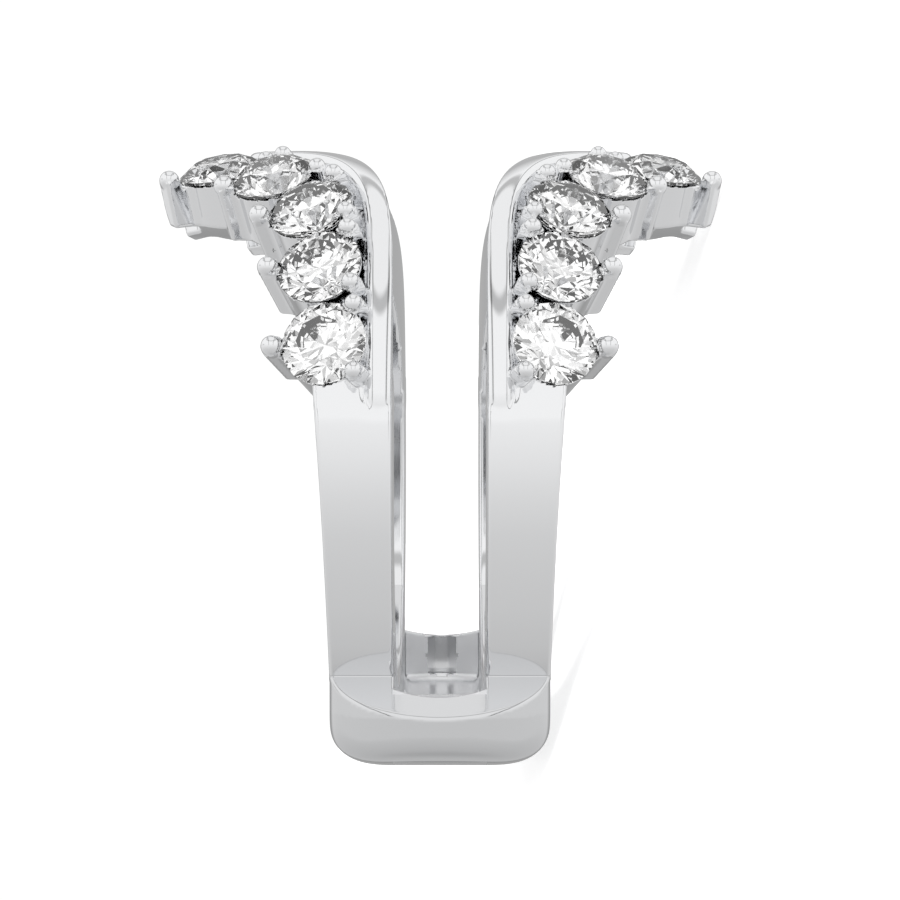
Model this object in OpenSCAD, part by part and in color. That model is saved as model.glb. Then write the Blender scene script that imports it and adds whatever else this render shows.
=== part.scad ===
// Ring guard enhancer: two open hoops joined by a squared base, with a stone-set wing on each side of an open centre.
// Lengths in millimetres, angles in degrees. The ring is drawn standing, with the finger axis on X, the depth on Y
// and the head toward +Z, and rest_pose() then lays it on its side.

/* [Hoops] */
// inner diameter, the finger size
bore_d = 17.3; // [14:0.1:22]
// outer diameter of both hoops
hoop_d = 22.8; // [18:0.1:27]
// clear width between the two hoops
gap_w = 3.1; // [2:0.05:5]
// width of each hoop at its narrowest
hoop_w = 2.19; // [1.6:0.01:3]
// height of the narrowest place, below the finger axis
waist_z = -6.6; // [-8:0.1:-4]
// radius of the long hollow curve of the sides
side_r = 99; // [60:1:160]
// angle from the head at which a hoop turns into its wing
shoulder_angle = 78; // [70:0.5:85]
// distance from the middle at which the bore starts to open under the wings
relief_x = 4.1; // [3.8:0.05:5]
// how much the bore opens there, as a share of the distance
relief_slope = 0.03; // [0.01:0.005:0.08]

/* [Base] */
// slope of the shelf on top of the base
shelf_angle = 39.1; // [30:0.1:45]
// depth of the base from its middle to the front of a bridge
base_y = 10.37; // [9:0.01:12]
// how far the front of the base bows out between its sides
base_bow = 1.81; // [0.5:0.01:2.5]
// half width of the base
base_x = 3.75; // [3:0.01:5]
// height of the underside below the finger axis
base_z = 11.12; // [10:0.01:12.5]
// radius of the flat arc of the underside
under_r = 40.7; // [25:0.1:80]
// height of the round that takes the outer lower edges off
under_round = 1.7; // [0.4:0.05:2]
// radius of the lower front corners
corner_r = 0.75; // [0.3:0.05:1.5]
// radius of the hollow inner face of a bridge
bridge_r = 4.3; // [3:0.05:8]
// depth of that face at its middle
bridge_in_y = 9.525; // [8:0.005:10]
// depth at which the small floor of a bridge starts
floor_y = 5.3; // [4:0.05:8]
// height of that floor below the finger axis
floor_z = 9.73; // [9:0.01:10.5]

/* [Ridge] */
// how far the apex of the ridge stands out past the gap
ridge_reach = 4.78; // [3:0.01:6]
// depth over which the ridge closes toward the gap
ridge_fade = 2.95; // [2:0.05:5]
// depth where it has all but reached the gap
ridge_end = 7.5; // [6:0.1:10]
// wall thickness of the ridge
ridge_t = 0.95; // [0.5:0.01:1.2]
// radius of the top of the gallery under the stones
gallery_r = 10.5; // [9.5:0.05:11]

/* [Stones] */
// girdle diameter of the stones at the shoulder
shoulder_stone_d = 2.9; // [2.4:0.01:3.2]
// girdle diameter of the stones at the apex
apex_stone_d = 3.14; // [2.6:0.01:3.4]
// outward lean of the stones
lean = 15; // [0:0.5:30]
// table width as a share of the girdle diameter
table_share = 0.56; // [0.5:0.01:0.65]
// crown height as a share of the girdle diameter
crown_share = 0.15; // [0.1:0.005:0.18]
// pavilion depth as a share of the girdle diameter
pavilion_share = 0.42; // [0.38:0.005:0.45]
// girdle thickness as a share of the girdle diameter
girdle_share = 0.03; // [0.01:0.005:0.06]
// clearance between a stone and its seat
seat_gap = 0.04; // [0.02:0.005:0.08]

/* [Prongs] */
// diameter of the posts
post_d = 0.58; // [0.4:0.01:0.8]
// diameter of the inner beads
inner_bead_d = 0.62; // [0.5:0.01:0.9]
// diameter of the outer beads
outer_bead_d = 0.7; // [0.5:0.01:0.9]
// distance of the inner beads outside the girdle
inner_bead_out = 0.17; // [0:0.01:0.3]
// distance of the outer beads outside the girdle
outer_bead_out = 0.27; // [0:0.01:0.4]
// half angle between the two inner beads
inner_bead_angle = 47; // [30:1:60]
// height of the beads above the girdle
bead_rise = 0.28; // [0.1:0.01:0.5]
// how much narrower a cup is than its stone, all round
cup_inset = 0.14; // [0:0.01:0.3]
// diameter of the open hole under a stone
culet_hole_d = 0.9; // [0.6:0.05:1.4]

/* [Hidden] */
$fn = 96;
eps = 0.01;
bore_r = bore_d / 2;
hoop_r = hoop_d / 2;
gap_x = gap_w / 2;
waist_x = gap_x + hoop_w;
far = 40;
hoop_root = 1.5;
web_in = 0.4;
web_share = 0.8;
web_drop = 0.12;
cup_depth = 3.6;
bridge_in_cy = bridge_in_y - bridge_r;
front_cy = base_y - base_bow;
corner_y = 10.25 - corner_r;
corner_z = -9.3;
under_cz = under_r - base_z;

// One row a station from the shoulder to the apex: angle from the head, distance from the middle plane, girdle radius,
// turn of the row away from the side direction, extra lean, place of the outer bead, extra distance of that bead
stations = [
  [69.1, 3.81, 11.14, 1, 0, 0, 0],
  [53.6, 4.04, 11.11, 4, 0, -8, 0],
  [38.0, 4.47, 11.06, 12, 0, -8, 0],
  [23.5, 5.93, 10.93, 34, -1, -18, 0],
  [10.5, 8.03, 10.61, 39, -3, -5, 0.3]
];
last = len(stations) - 1;
function stone_d(i) = shoulder_stone_d + (apex_stone_d - shoulder_stone_d) * pow(i / last, 1.4);

// The lying position, worked out from where the apex posts and the side of the base touch the floor
rest_tilt = 18.359;
rest_lift = 6.674;
rest_shift = -1.096;

metal = [0.80, 0.81, 0.83];
diamond = [0.93, 0.96, 1.0];

module rest_pose()
  translate([rest_shift, 0, rest_lift])
    rotate([180, -90 - rest_tilt, 0])
      children();

// a side view in Y and Z, drawn out along X between two places
module along_x(from, to)
  translate([from, 0, 0])
    rotate([90, 0, 90])
      linear_extrude(height = to - from)
        children();

module x_cylinder(r, half)
  rotate([0, 90, 0])
    cylinder(r = r, h = 2 * half, center = true);

module at_station(i, rise = 0)
  rotate([-stations[i][0], 0, 0])
    translate([stations[i][1], 0, stations[i][2]])
      rotate([0, lean + stations[i][4], stations[i][3]])
        translate([0, 0, rise])
          children();

module four_ways()
  for (sx = [0, 1], sy = [0, 1])
    mirror([sx, 0, 0])
      mirror([0, sy, 0])
        children();

// hoops

// everything between two directions seen from the side, counted from the near side over the head
module sector(from, to)
  polygon(concat([[0, 0]], [for (k = [0:4]) let(a = from + (to - from) * k / 4) far * [cos(a), sin(a)]]));

module hoop_side_cut()
  translate([waist_x + side_r, 0, waist_z])
    rotate([90, 0, 0])
      cylinder(r = side_r, h = far, center = true, $fn = 720);

module hoops()
  for (s = [0, 1])
    mirror([s, 0, 0])
      difference() {
        translate([(gap_x + far / 4) / 2, 0, 0])
          x_cylinder(hoop_r, (far / 4 - gap_x) / 2);
        hoop_side_cut();
        along_x(0, far / 2) {
          sector(90 - shoulder_angle, 90 + shoulder_angle);
          sector(180 + shelf_angle + hoop_root, 360 - shelf_angle - hoop_root);
        }
      }

// base

function bow_y(x) = front_cy + base_bow * sqrt(max(0, 1 - pow(x / (base_x + 0.005), 2)));
bow_steps = 30;
bow_front = [for (k = [0:bow_steps]) let(a = 180 * k / bow_steps) [base_x * cos(a), bow_y(base_x * cos(a))]];

module base_plan()
  polygon(concat(bow_front, [for (k = [0:bow_steps]) -bow_front[k]]));

function corner_arc(s) = [
  for (k = [0:6]) let(a = 90 * k / 6) [s * (corner_y + corner_r * cos(a)), corner_z - corner_r * sin(a)]
];

front_top = [base_y + 0.02, -(base_y + 0.02) * tan(shelf_angle)];

module base_side()
  polygon(concat(
    [[0, 0], front_top],
    corner_arc(1),
    [[corner_y, -far / 3], [-corner_y, -far / 3]],
    [for (k = [6:-1:0]) corner_arc(-1)[k]],
    [[-front_top[0], front_top[1]]]
  ));

round_power = 2.8;
round_steps = 8;
function under_drop(s) = under_round * (1 - pow(1 - pow(s, round_power), 1 / round_power));
under_half = [
  for (k = [0:round_steps]) let(s = sin(90 * k / round_steps)) [under_r - under_drop(s), gap_x + s * (base_x - gap_x)]
];

module under_curve()
  translate([0, 0, under_cz])
    rotate([0, 90, 0])
      rotate_extrude($fn = 360)
        polygon(concat(
          [[far * 0.8, -base_x]],
          [for (k = [round_steps:-1:0]) [under_half[k][0], -under_half[k][1]]],
          under_half,
          [[far * 0.8, base_x]]
        ));

module slot_plan() {
  square([gap_w, 2 * bridge_in_cy], center = true);
  for (s = [-1, 1])
    intersection() {
      translate([0, s * bridge_in_cy])
        circle(r = bridge_r);
      translate([-gap_x, s * bridge_in_cy - (s < 0 ? far / 4 : 0)])
        square([gap_w, far / 4]);
    }
}

module base()
  difference() {
    intersection() {
      along_x(-base_x - 1, base_x + 1)
        base_side();
      translate([0, 0, -far / 2])
        linear_extrude(height = far / 2)
          base_plan();
      under_curve();
    }
    translate([0, 0, -floor_z])
      linear_extrude(height = far / 2)
        slot_plan();
    translate([-gap_x, -floor_y, -far / 2])
      cube([gap_w, 2 * floor_y, far]);
  }

// wings

function ridge_x(y) = gap_x + (y > 9.8 ? 0 : ridge_reach * exp(-y / ridge_fade - pow(y / ridge_end, 4)));
function ridge_slope(y) = (ridge_x(y + eps) - ridge_x(y)) / eps;
function ridge_out(y) = let(m = ridge_slope(y), l = sqrt(1 + m * m)) [ridge_x(y) + ridge_t / l, y - ridge_t * m / l];
ridge_ys = [for (k = [0:18]) 11.6 * pow(k / 18, 1.25)];
ridge_inner = [for (y = ridge_ys) [ridge_x(y), y]];
ridge_outer = [for (y = ridge_ys) ridge_out(y)];
apex_turn = atan2(ridge_outer[0][1], ridge_outer[0][0] - ridge_inner[0][0]);
apex_arc = [
  for (k = [-3:3]) [ridge_inner[0][0] + ridge_t * cos(apex_turn * k / 4), ridge_t * sin(apex_turn * k / 4)]
];
function flip_y(points) = [for (k = [len(points) - 1:-1:0]) [points[k][0], -points[k][1]]];

module ridge_plan()
  polygon(concat(
    flip_y(ridge_outer),
    apex_arc,
    ridge_outer,
    [for (k = [18:-1:0]) ridge_inner[k]],
    [for (k = [1:18]) [ridge_inner[k][0], -ridge_inner[k][1]]]
  ));

function centre_plan(i) = [stations[i][1], stations[i][2] * sin(stations[i][0])];
row_outer = concat(
  [[centre_plan(last)[0] + 0.3, 0]],
  [for (i = [last:-1:0]) centre_plan(i)],
  [[waist_x + 0.3, 11.6]]
);

module gallery_plan()
  polygon(concat(
    flip_y(row_outer),
    row_outer,
    [for (k = [18:-1:0]) ridge_inner[k]],
    [for (k = [1:18]) [ridge_inner[k][0], -ridge_inner[k][1]]]
  ));

module wing_plate(r)
  intersection() {
    linear_extrude(height = far / 2)
      children();
    x_cylinder(r, far / 2);
  }

module cup(i)
  at_station(i, -cup_depth)
    cylinder(r = stone_d(i) / 2 - cup_inset, h = cup_depth - girdle_share * stone_d(i));

module prong(i, angle, out, bead_d)
  at_station(i)
    rotate([0, 0, angle])
      translate([stone_d(i) / 2 + out, 0, 0]) {
        translate([0, 0, -cup_depth])
          cylinder(d = post_d, h = cup_depth + bead_rise);
        translate([-out - web_in, -web_share * post_d / 2, -cup_depth])
          cube([out + web_in, web_share * post_d, cup_depth - web_drop]);
        translate([0, 0, bead_rise])
          sphere(d = bead_d);
      }

module setting(i) {
  cup(i);
  prong(i, stations[i][5], outer_bead_out + stations[i][6], outer_bead_d);
  prong(i, 180 - inner_bead_angle, inner_bead_out, inner_bead_d);
  prong(i, 180 + inner_bead_angle, inner_bead_out, inner_bead_d);
}

// the room a stone needs, with the open hole below it
module seat(i) {
  d = stone_d(i);
  r = d / 2 + seat_gap;
  half = girdle_share * d / 2 + seat_gap;
  at_station(i)
    rotate_extrude($fn = 48)
      polygon([
        [0, -far / 8],
        [culet_hole_d / 2, -far / 8],
        [culet_hole_d / 2, -half - (r - culet_hole_d / 2) * 2 * pavilion_share],
        [r, -half],
        [r, half],
        [table_share * r, half + crown_share * d],
        [table_share * r, far / 16],
        [0, far / 16]
      ]);
}

function bore_at(x) = bore_r + relief_slope * max(0, x - relief_x);

// the finger's cylinder, eased outward under the wings
module bore()
  rotate([0, 90, 0])
    rotate_extrude()
      polygon([
        [0, -far],
        [bore_at(far), -far],
        [bore_r, -relief_x],
        [bore_r, relief_x],
        [bore_at(far), far],
        [0, far]
      ]);

module guard_frame()
  color(metal)
    difference() {
      union() {
        hoops();
        base();
        for (s = [0, 1])
          mirror([s, 0, 0]) {
            wing_plate(hoop_r) ridge_plan();
            wing_plate(gallery_r) gallery_plan();
          }
        four_ways()
          for (i = [0:last])
            setting(i);
      }
      four_ways()
        for (i = [0:last])
          seat(i);
      bore();
    }

// stones

function ring_points(n, r, z, turn) = [for (k = [0:n - 1]) [r * cos(360 * k / n + turn), r * sin(360 * k / n + turn), z]];

// round brilliant: table 0-7, star tips 8-15, upper girdle 16-31, lower girdle 32-47, pavilion tips 48-55, culet 56
module brilliant(d) {
  r = d / 2;
  table_r = table_share * r;
  half = girdle_share * d / 2;
  crown = crown_share * d;
  deep = pavilion_share * d;
  star_r = table_r + 0.5 * (r - table_r);
  star_z = half + crown * (r - star_r * cos(22.5)) / (r - table_r);
  tip_r = 0.24 * r;
  tip_z = -half - deep * (1 - tip_r * cos(22.5) / r);
  points = concat(
    ring_points(8, table_r, half + crown, 0),
    ring_points(8, star_r, star_z, 22.5),
    ring_points(16, r, half, 0),
    ring_points(16, r, -half, 0),
    ring_points(8, tip_r, tip_z, 22.5),
    [[0, 0, -half - deep]]
  );
  faces = concat(
    [[7, 6, 5, 4, 3, 2, 1, 0]],
    [for (k = [0:7]) [k, (k + 1) % 8, 8 + k]],
    [for (k = [0:7]) [k, 8 + k, 16 + 2 * k, 8 + (k + 7) % 8]],
    [for (k = [0:7]) [8 + k, 17 + 2 * k, 16 + 2 * k]],
    [for (k = [0:7]) [8 + k, 16 + (2 * k + 2) % 16, 17 + 2 * k]],
    [for (k = [0:15]) [16 + k, 16 + (k + 1) % 16, 32 + (k + 1) % 16, 32 + k]],
    [for (k = [0:7]) [32 + 2 * k, 33 + 2 * k, 48 + k]],
    [for (k = [0:7]) [33 + 2 * k, 32 + (2 * k + 2) % 16, 48 + k]],
    [for (k = [0:7]) [32 + 2 * k, 48 + k, 56, 48 + (k + 7) % 8]]
  );
  polyhedron(points = points, faces = faces);
}

// stones 1 to 5 run from the near shoulder to the apex, 6 to 10 on from the apex to the far shoulder
module wing_stone(wing, number) {
  i = number <= 5 ? number - 1 : 10 - number;
  color(diamond)
    mirror([wing == "left" ? 0 : 1, 0, 0])
      mirror([0, number <= 5 ? 0 : 1, 0])
        at_station(i)
          brilliant(stone_d(i));
}

module stone_left_1() wing_stone("left", 1);
module stone_left_2() wing_stone("left", 2);
module stone_left_3() wing_stone("left", 3);
module stone_left_4() wing_stone("left", 4);
module stone_left_5() wing_stone("left", 5);
module stone_left_6() wing_stone("left", 6);
module stone_left_7() wing_stone("left", 7);
module stone_left_8() wing_stone("left", 8);
module stone_left_9() wing_stone("left", 9);
module stone_left_10() wing_stone("left", 10);
module stone_right_1() wing_stone("right", 1);
module stone_right_2() wing_stone("right", 2);
module stone_right_3() wing_stone("right", 3);
module stone_right_4() wing_stone("right", 4);
module stone_right_5() wing_stone("right", 5);
module stone_right_6() wing_stone("right", 6);
module stone_right_7() wing_stone("right", 7);
module stone_right_8() wing_stone("right", 8);
module stone_right_9() wing_stone("right", 9);
module stone_right_10() wing_stone("right", 10);

rest_pose() {
  guard_frame();
  stone_left_1();
  stone_left_2();
  stone_left_3();
  stone_left_4();
  stone_left_5();
  stone_left_6();
  stone_left_7();
  stone_left_8();
  stone_left_9();
  stone_left_10();
  stone_right_1();
  stone_right_2();
  stone_right_3();
  stone_right_4();
  stone_right_5();
  stone_right_6();
  stone_right_7();
  stone_right_8();
  stone_right_9();
  stone_right_10();
}
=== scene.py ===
"""Ring guard enhancer: cast white metal with bead-set round stones, lying on a pale floor under soft light.

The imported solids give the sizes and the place. The stones stay as packed and get their finish here. The cast
metal is built again as one smooth field, with its small fillets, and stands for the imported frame.

A field is a signed distance in millimetres, negative inside, in the frame of the standing ring: X along the
finger, Y across it and Z toward the head. The ring is the same on both sides and at both ends, so a field is
read for positive X and Y, and one quarter is meshed and mirrored.
"""

import logging
import math
from dataclasses import dataclass, field
from enum import Enum
from typing import Dict, List, Sequence, Tuple, Union

import bpy
import numpy as np
from bpy.types import Material, Node, NodeSocket, NodeTree, Object
from mathutils import Matrix, Vector

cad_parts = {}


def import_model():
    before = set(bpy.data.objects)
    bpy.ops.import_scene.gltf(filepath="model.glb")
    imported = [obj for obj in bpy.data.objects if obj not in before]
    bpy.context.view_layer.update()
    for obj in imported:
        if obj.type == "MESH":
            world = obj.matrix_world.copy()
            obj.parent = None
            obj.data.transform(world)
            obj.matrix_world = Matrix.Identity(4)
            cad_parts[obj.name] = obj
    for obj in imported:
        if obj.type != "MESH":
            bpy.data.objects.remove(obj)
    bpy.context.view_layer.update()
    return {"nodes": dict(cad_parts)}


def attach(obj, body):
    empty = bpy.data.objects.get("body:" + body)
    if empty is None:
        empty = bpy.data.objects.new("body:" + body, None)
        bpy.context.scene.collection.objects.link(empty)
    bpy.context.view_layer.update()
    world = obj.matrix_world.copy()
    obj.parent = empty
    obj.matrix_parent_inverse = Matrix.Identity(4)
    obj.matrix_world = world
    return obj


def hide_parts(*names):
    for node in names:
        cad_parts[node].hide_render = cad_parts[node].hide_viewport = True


LOG = logging.getLogger("ring_guard")
# Metres in a millimetre
MM = 0.001
# Keeps a divisor above nought
TINY = 1e-9
# The standing ring's axes
HEAD = (0, 0, 1)
DEPTH = (0, 1, 0)
SIDE = (1, 0, 0)


@dataclass(frozen=True)
class Pose:
    """How the standing ring is laid on its side. Lengths in millimetres, the tilt in degrees."""

    tilt: float = 18.359
    lift: float = 6.674
    shift: float = -1.096

    def axes(self) -> np.ndarray:
        """The matrix that turns a direction of the standing ring into one of the row frame.

        Returns:
            A 3 by 3 matrix.
        """
        s, c = math.sin(math.radians(self.tilt)), math.cos(math.radians(self.tilt))
        return np.array([[-s, 0.0, c], [0.0, -1.0, 0.0], [c, 0.0, s]])

    def place(self, points: np.ndarray) -> np.ndarray:
        """Points of the standing ring, rows in millimetres, as rows of the row frame in metres."""
        return (points @ self.axes().T + np.array([self.shift, 0.0, self.lift])) * MM


@dataclass(frozen=True)
class Station:
    """One stone's place on a quarter of the ring, in degrees and millimetres.

    Attributes:
        angle: round the finger from the head.
        side: from the middle plane to the stone.
        rise: from the finger axis to the girdle.
        turn: of the stone's outward direction, along the row.
        lean: of the stone's table, outward.
        bead_turn: of the outer bead, round the stone.
        bead_out: extra distance of the outer bead.
        sink: how far the inner bead on the apex side is lowered.
        size: diameter of the girdle.
    """

    angle: float
    side: float
    rise: float
    turn: float
    lean: float
    bead_turn: float
    bead_out: float
    sink: float
    size: float

    def basis(self) -> np.ndarray:
        """The stone's own axes: outward, along the row and up.

        Returns:
            Three rows, one an axis.
        """
        around, turn, lean = (math.radians(v) for v in (self.angle, self.turn, self.lean))
        side = np.array([1.0, 0.0, 0.0])
        down = np.array([0.0, math.cos(around), -math.sin(around)])
        up = np.array([0.0, math.sin(around), math.cos(around)])
        out = side * math.cos(turn) + down * math.sin(turn)
        row = -side * math.sin(turn) + down * math.cos(turn)
        outward = out * math.cos(lean) - up * math.sin(lean)
        return np.array([outward, row, up * math.cos(lean) + out * math.sin(lean)])

    def centre(self) -> np.ndarray:
        """The middle of the stone's girdle."""
        around = math.radians(self.angle)
        return np.array([self.side, self.rise * math.sin(around), self.rise * math.cos(around)])


def stations(small: float = 2.9, growth: float = 0.24, power: float = 1.4) -> Tuple[Station, ...]:
    """The five places of a quarter, from the shoulder to the apex.

    Args:
        small: size of the stone at the shoulder.
        growth: how much bigger the one at the apex is.
        power: how the sizes grow in between.

    Returns:
        The stations in order.
    """
    # Angle, side, rise, turn, lean, bead turn, bead out, sink
    rows = (
        (69.1, 3.81, 11.14, 1, 15, 0, 0, 0),
        (53.6, 4.04, 11.11, 4, 15, -8, 0, 0),
        (38.0, 4.47, 11.06, 12, 15, -8, 0, 0),
        (23.5, 5.93, 10.93, 34, 14, -18, 0, 0.2),
        (10.5, 8.03, 10.61, 39, 12, -5, 0.3, 0.45),
    )
    last = len(rows) - 1
    return tuple(Station(*row, size=small + growth * (i / last) ** power) for i, row in enumerate(rows))


def round_max(a: np.ndarray, b: np.ndarray, r: Union[float, np.ndarray]) -> np.ndarray:
    """The common part of two fields, with its edge rounded to radius r."""
    return np.minimum(np.maximum(a, b), -r) + np.hypot(np.maximum(a + r, 0), np.maximum(b + r, 0))


def round_min(a: np.ndarray, b: np.ndarray, r: float) -> np.ndarray:
    """The union of two fields, with a fillet of radius r where they meet."""
    return np.maximum(np.minimum(a, b), r) - np.hypot(np.maximum(r - a, 0), np.maximum(r - b, 0))


def smooth(t: np.ndarray) -> np.ndarray:
    """An eased step from 0 to 1 as t goes from 0 to 1."""
    t = np.clip(t, 0.0, 1.0)
    return t * t * (3 - 2 * t)


@dataclass
class HoopField:
    """The two slim hoops, from their wings down into the base. Millimetres and degrees from the head.

    Attributes:
        outer: outside radius.
        gap: half the slot between the hoops.
        waist: side position of the outer side where it is narrowest, at height waist_z.
        side_r: radius of the outer side's long bow.
        end: where a hoop ends under its wing, with edge radius shoulder.
        dip: how far the outside sinks at that end, and root the same under the ridge.
        dip_from: where the sinking starts, over dip_over degrees.
        root_x: side position where root gives way to dip, over root_over.
        shelf: slope of the base's top, below which the hoop runs on for bury degrees.
        edge: radius of the long edges.
    """

    bore: float = 8.65
    outer: float = 11.4
    gap: float = 1.55
    waist: float = 3.74
    waist_z: float = -6.6
    side_r: float = 99.0
    end: float = 73.0
    shoulder: float = 0.2
    dip: float = 0.18
    root: float = 0.4
    dip_from: float = 83.0
    dip_over: float = 8.0
    root_x: float = 2.2
    root_over: float = 0.5
    shelf: float = 39.1
    bury: float = 1.5
    edge: float = 0.13

    def distance(self, x: np.ndarray, y: np.ndarray, z: np.ndarray) -> np.ndarray:
        """Distance to a hoop.

        Args:
            x: absolute side position.
            y: absolute depth.
            z: height.

        Returns:
            The distance at each point.
        """
        end, buried = math.radians(self.end), math.radians(self.shelf + self.bury)
        turn = np.degrees(np.arctan2(y, z))
        face = smooth((x - self.root_x) / self.root_over)
        sunk = self.dip * face + self.root * (1 - face)
        dip = smooth((self.dip_from - turn) / self.dip_over) * sunk
        bow = (z - self.waist_z) ** 2 / (2 * self.side_r)
        d = round_max(np.hypot(y, z) - self.outer + dip, x - self.waist - bow, self.edge)
        d = round_max(d, self.gap - x, self.edge)
        d = round_max(d, z * math.sin(end) - y * math.cos(end), self.shoulder)
        return np.maximum(d, -(z * math.cos(buried) + y * math.sin(buried)))


@dataclass
class BaseField:
    """The squared base with its two bridges and the slot between them. Millimetres and degrees.

    Attributes:
        shelf: slope of the top, from the finger axis down to the front edge.
        front: depth of the front, which bows out by bow, and leans in by taper below taper_z.
        half: half the width.
        under_r: radius of the underside, round a point at height under_z.
        drop: height, and drop_side width, of the underside's rounding, a superellipse of this power.
        deep: share of that superellipse inside which inside is distance enough.
        gap: half the slot's width.
        slot_r: radius of the slot's near end, round depth slot_y, down to floor_z with edge floor_edge.
        floor_y: depth to which the slot goes right through.
        corner: radius of the lower front edge, and side_corner of the same edge at the sides.
        edge: radius of the other edges.
    """

    shelf: float = 39.1
    front: float = 10.37
    bow: float = 1.81
    taper: float = 0.1
    taper_z: float = -8.43
    half: float = 3.755
    under_r: float = 40.7
    under_z: float = 29.58
    drop: float = 1.7
    drop_side: float = 2.2
    power: float = 2.8
    deep: float = 0.3
    inside: float = -0.5
    gap: float = 1.55
    slot_r: float = 4.3
    slot_y: float = 5.225
    floor_y: float = 5.3
    floor_z: float = -9.73
    floor_edge: float = 0.35
    corner: float = 0.75
    side_corner: float = 0.06
    edge: float = 0.1

    def outline(self, x: np.ndarray, y: np.ndarray, z: np.ndarray) -> Tuple[np.ndarray, np.ndarray]:
        """The base's plan, with its bowed front.

        Args:
            x: absolute side position.
            y: absolute depth.
            z: height.

        Returns:
            The distance to it, and how much of each point's way out is forward, from 0 to 1.
        """
        out_y = y + self.taper * np.maximum(self.taper_z - z, 0) - (self.front - self.bow)
        u, v = x / self.half, np.maximum(out_y, 0) / self.bow
        f = np.hypot(u, v) + TINY
        gx, gy = u / self.half / f, v / self.bow / f
        steep = np.hypot(gx, gy) + TINY
        return (f - 1) / steep, (gy / steep) ** 2

    def underside(self, x: np.ndarray, y: np.ndarray, z: np.ndarray) -> np.ndarray:
        """The round underside, with its long edges rolled up.

        Args:
            x: absolute side position.
            y: absolute depth.
            z: height.

        Returns:
            The distance at each point.
        """
        rho = np.hypot(y, z - self.under_z)
        p = np.maximum((x - self.gap) / self.drop_side, 0)
        q = np.maximum((rho - self.under_r + self.drop) / self.drop, 0)
        g = (p**self.power + q**self.power) ** (1 / self.power) + TINY
        gp = (p / g) ** (self.power - 1) / self.drop_side
        gq = (q / g) ** (self.power - 1) / self.drop
        return np.where(g < self.deep, self.inside, (g - 1) / (np.hypot(gp, gq) + TINY))

    def slot(self, x: np.ndarray, y: np.ndarray, z: np.ndarray) -> np.ndarray:
        """The slot: a round-ended room above the bridges' ledges, and a straight hole between the bridges.

        Args:
            x: absolute side position.
            y: absolute depth.
            z: height.

        Returns:
            The distance at each point.
        """
        wide = x - self.gap
        room = np.maximum(wide, np.hypot(x, np.maximum(y - self.slot_y, 0)) - self.slot_r)
        room = round_max(room, self.floor_z - z, self.floor_edge)
        return np.minimum(room, np.maximum(wide, y - self.floor_y))

    def distance(self, x: np.ndarray, y: np.ndarray, z: np.ndarray) -> np.ndarray:
        """Distance to the base, with the slot taken out.

        Args:
            x: absolute side position.
            y: absolute depth.
            z: height.

        Returns:
            The distance at each point.
        """
        s = math.radians(self.shelf)
        plan, forward = self.outline(x, y, z)
        corner = self.side_corner + (self.corner - self.side_corner) * np.clip(forward, 0, 1)
        d = round_max(plan, self.underside(x, y, z), corner)
        d = round_max(d, z * math.cos(s) + y * math.sin(s), self.edge)
        return round_max(d, -self.slot(x, y, z), self.edge)


@dataclass
class RidgeField:
    """The ridge round the open centre and the gallery between it and the stones. Millimetres.

    Attributes:
        gap: side position of the inner face at the shoulder.
        reach: how much further out it starts at the apex, falling off over fade and ended by end.
        wall: thickness, with a crown edge of radius crown and a face domed by dome.
        top: outside radius of the ridge, and gallery of the gallery, which starts gallery_in from the face.
        most: the most that the dome takes off.
        face_edge: radius of the inner face's lower edge.
        fillet: radius between ridge and gallery.
        merge: how far the ridge sinks into the hoop between merge_from and merge_to degrees.
        far: greatest depth of a foot point, found in this many steps with this damping.
    """

    gap: float = 1.55
    reach: float = 4.78
    fade: float = 2.95
    end: float = 7.5
    wall: float = 0.87
    top: float = 11.4
    gallery: float = 10.3
    gallery_in: float = 0.2
    crown: float = 0.2
    dome: float = 0.085
    most: float = 0.3
    face_edge: float = 0.1
    fillet: float = 0.18
    merge: float = 0.2
    merge_from: float = 78.0
    merge_to: float = 87.0
    far: float = 12.0
    steps: int = 7
    damping: float = 1.6

    def plan(self, y: np.ndarray) -> np.ndarray:
        """Side position of the ridge's inner face at a depth."""
        return self.gap + self.reach * np.exp(-y / self.fade - (y / self.end) ** 4)

    def slope(self, y: np.ndarray) -> np.ndarray:
        """How fast that position changes with depth."""
        return -(self.plan(y) - self.gap) * (1 / self.fade + 4 * y**3 / self.end**4)

    def across(self, x: np.ndarray, y: np.ndarray) -> np.ndarray:
        """Signed distance in plan from the inner face, positive toward the stones.

        Args:
            x: absolute side position.
            y: absolute depth.

        Returns:
            The distance at each point.
        """
        foot = np.clip(y, 0.0, self.far)
        for _ in range(self.steps):
            m = self.slope(foot)
            off = (self.plan(foot) - x) * m + foot - y
            foot = np.clip(foot - off / (1 + self.damping * m * m), 0.0, self.far)
        d = np.hypot(self.plan(foot) - x, foot - y)
        return np.where(x > self.plan(y), d, -d)

    def distance(self, x: np.ndarray, y: np.ndarray, z: np.ndarray, row: np.ndarray) -> np.ndarray:
        """Distance to the ridge and the gallery.

        Args:
            x: absolute side position.
            y: absolute depth.
            z: height.
            row: plan distance outside the line through the stones.

        Returns:
            The distance at each point.
        """
        r = np.hypot(y, z)
        s = self.across(x, y)
        dome = np.minimum(self.dome * (2 * s / self.wall - 1) ** 2, self.most)
        ridge = round_max(s - self.wall, r - self.top + dome, self.crown)
        ridge = round_max(ridge, -s, self.face_edge)
        gallery = np.maximum(np.maximum(self.gallery_in - s, row), r - self.gallery)
        turn = np.degrees(np.arctan2(y, z))
        past = smooth((turn - self.merge_from) / (self.merge_to - self.merge_from))
        return np.maximum(round_min(ridge, gallery, self.fillet) + self.merge * past, -z)


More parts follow.
